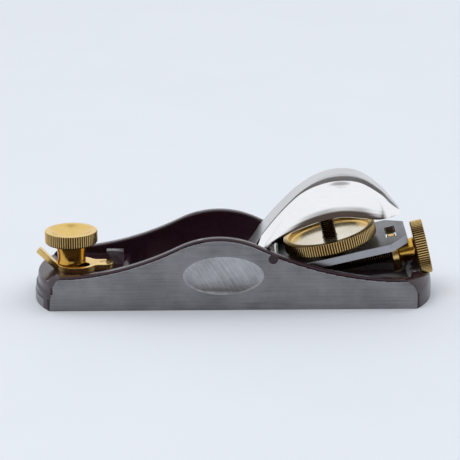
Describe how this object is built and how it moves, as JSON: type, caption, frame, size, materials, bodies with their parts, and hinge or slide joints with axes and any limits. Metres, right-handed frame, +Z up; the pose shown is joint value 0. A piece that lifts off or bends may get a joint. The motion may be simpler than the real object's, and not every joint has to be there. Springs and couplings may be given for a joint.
{
  "type": "hand plane",
  "caption": "Low-angle block plane: painted casting with sliding toe plate, brass knob and eccentric lever, bevel-up iron, depth adjuster and domed lever cap.",
  "frame": {"origin": "centre of the sole, on the sole plane", "axes": "+X towards the heel (the toe knob is at -X), +Y towards the far cheek, +Z up from the sole"},
  "size_m": [0.1657, 0.045, 0.0529],
  "materials": {
    "painted_casting": "dark plum gloss enamel over cast iron; sole and cheek faces ground bare",
    "ground_iron": "surface ground",
    "tool_steel": "surface ground and hardened, satin",
    "bright_steel": "turned",
    "brass": "turned, knurled and polished",
    "dark_brass": "threaded, oiled and dull",
    "polished_nickel": "mirror-polished flanks, satin crown"
  },
  "bodies": {
    "casting": {"body_casting": "painted_casting", "cap_cross_rod": "bright_steel", "lever_pivot_pin": "bright_steel", "adjuster_stud": "dark_brass"},
    "toe_plate": {"toe_plate": "ground_iron"},
    "toe_knob_stud": {"toe_knob_stud": "bright_steel"},
    "toe_knob": {"toe_knob": "brass"},
    "mouth_lever": {"mouth_lever": "brass"},
    "iron": {"iron": "tool_steel"},
    "adjuster_nut": {"adjuster_nut": "brass"},
    "lever_cap": {"lever_cap": "polished_nickel"},
    "clamp_screw": {"clamp_screw": "brass"},
    "clamp_wheel": {"clamp_wheel": "brass"}
  },
  "joints": [
    {"name": "toe_slide", "type": "slide", "parent": "casting", "child": "toe_plate", "axis": [1, 0, 0], "range_m": [0, 0.0026]},
    {"name": "lever_swing", "type": "hinge", "parent": "casting", "child": "mouth_lever", "pos_m": [-0.0536, 0, 0.01277], "axis": [0, 0, 1], "range_deg": [-13.85, 0]},
    {"name": "knob_lift", "type": "slide", "parent": "toe_plate", "child": "toe_knob_stud", "axis": [0, 0, 1], "range_m": [0, 0.001]},
    {"name": "knob_spin", "type": "hinge", "parent": "toe_knob_stud", "child": "toe_knob", "pos_m": [-0.0671, 0, 0.014], "axis": [0, 0, 1], "range_deg": [0, 360]},
    {"name": "iron_slide", "type": "slide", "parent": "casting", "child": "iron", "axis": [-0.9744, 0, -0.225], "range_m": [-0.003, 0.001]},
    {"name": "adjuster_spin", "type": "hinge", "parent": "iron", "child": "adjuster_nut", "pos_m": [0.0659, 0, 0.0167], "axis": [-0.9744, 0, -0.225], "range_deg": [-1080, 360]},
    {"name": "cap_tilt", "type": "hinge", "parent": "casting", "child": "lever_cap", "pos_m": [0.0163, 0, 0.0216], "axis": [0, 1, 0], "range_deg": [0, 2.4]},
    {"name": "screw_lift", "type": "slide", "parent": "lever_cap", "child": "clamp_screw", "axis": [-0.225, 0, 0.9744], "range_m": [0, 0.001]},
    {"name": "wheel_spin", "type": "hinge", "parent": "clamp_screw", "child": "clamp_wheel", "pos_m": [0.04124, 0, 0.02083], "axis": [-0.225, 0, 0.9744], "range_deg": [0, 360]}
  ],
  "couplings": [
    {"joint": "lever_swing", "follows": "toe_slide", "rad_per_m": -92.637},
    {"joint": "knob_spin", "follows": "knob_lift", "rad_per_m": 6283.2},
    {"joint": "adjuster_spin", "follows": "iron_slide", "rad_per_m": 6283.2},
    {"joint": "cap_tilt", "follows": "wheel_spin", "ratio": 0.0065957},
    {"joint": "screw_lift", "follows": "wheel_spin", "m_per_rad": 0.00015915}
  ]
}
